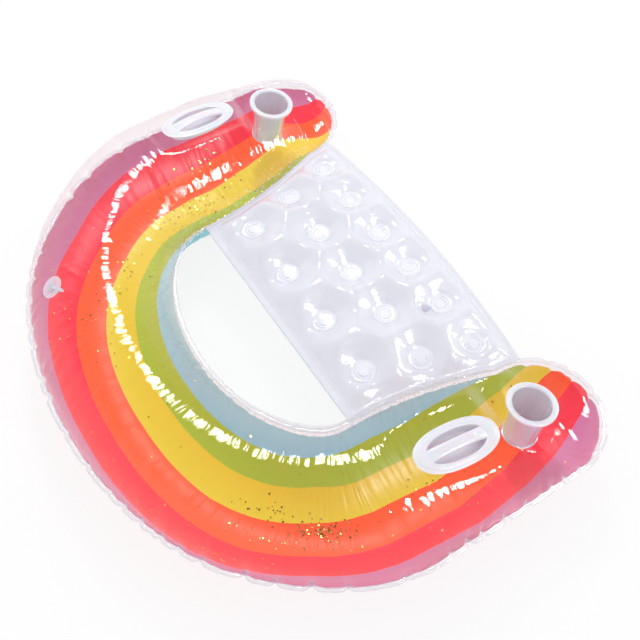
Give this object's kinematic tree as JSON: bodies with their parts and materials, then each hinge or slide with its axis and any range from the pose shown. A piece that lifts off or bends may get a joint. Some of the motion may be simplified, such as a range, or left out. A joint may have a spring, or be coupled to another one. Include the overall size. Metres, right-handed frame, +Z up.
{
  "type": "inflatable pool chair",
  "caption": "U-shaped inflatable pool chair: a clear-topped tube with banded print round a welded seat mat, with sunken cup wells, grab handles and push-in valves.",
  "frame": {"origin": "on the floor under the middle of the chair's overall width and length", "axes": "+X to the sitter's left, +Y to the back rest, +Z up"},
  "size_m": [1.108, 0.838, 0.255],
  "materials": {
    "clear_film": "clear glossy film",
    "printed_film": "glossy film with printed colour bands",
    "mat_film": "clear glossy film with a pale lavender cast",
    "white_moulding": "satin white moulded vinyl",
    "milky_film": "milky translucent film",
    "valve_vinyl": "clear soft vinyl"
  },
  "bodies": {
    "float": {"tube_top_sheet": "clear_film", "tube_bottom_sheet": "printed_film", "seat_top_sheet": "mat_film", "seat_bottom_sheet": "mat_film", "left_cup_ring": "white_moulding", "right_cup_ring": "white_moulding", "left_cup_well": "milky_film", "right_cup_well": "milky_film", "left_cup_floor": "milky_film", "right_cup_floor": "milky_film", "left_handle": "white_moulding", "right_handle": "white_moulding", "tube_valve_base": "valve_vinyl", "seat_valve_base": "valve_vinyl", "tube_valve_strap": "valve_vinyl", "seat_valve_strap": "valve_vinyl"},
    "tube_stem": {"tube_valve_stem": "valve_vinyl", "tube_valve_flap": "valve_vinyl"},
    "tube_stopper": {"tube_valve_stopper": "valve_vinyl"},
    "seat_stem": {"seat_valve_stem": "valve_vinyl", "seat_valve_flap": "valve_vinyl"},
    "seat_stopper": {"seat_valve_stopper": "valve_vinyl"}
  },
  "joints": [
    {"name": "tube_stem_slide", "type": "slide", "parent": "float", "child": "tube_stem", "axis": [0.17, 0.4955, 0.8518], "range_m": [0, 0.012]},
    {"name": "tube_stopper_slide", "type": "slide", "parent": "tube_stem", "child": "tube_stopper", "axis": [0.17, 0.4955, 0.8518], "range_m": [0, 0.01], "deforming": ["tube_valve_strap"]},
    {"name": "seat_stem_slide", "type": "slide", "parent": "float", "child": "seat_stem", "axis": [0, 0, 1], "range_m": [0, 0.005]},
    {"name": "seat_stopper_slide", "type": "slide", "parent": "seat_stem", "child": "seat_stopper", "axis": [0, 0, 1], "range_m": [0, 0.006], "deforming": ["seat_valve_strap"]}
  ]
}
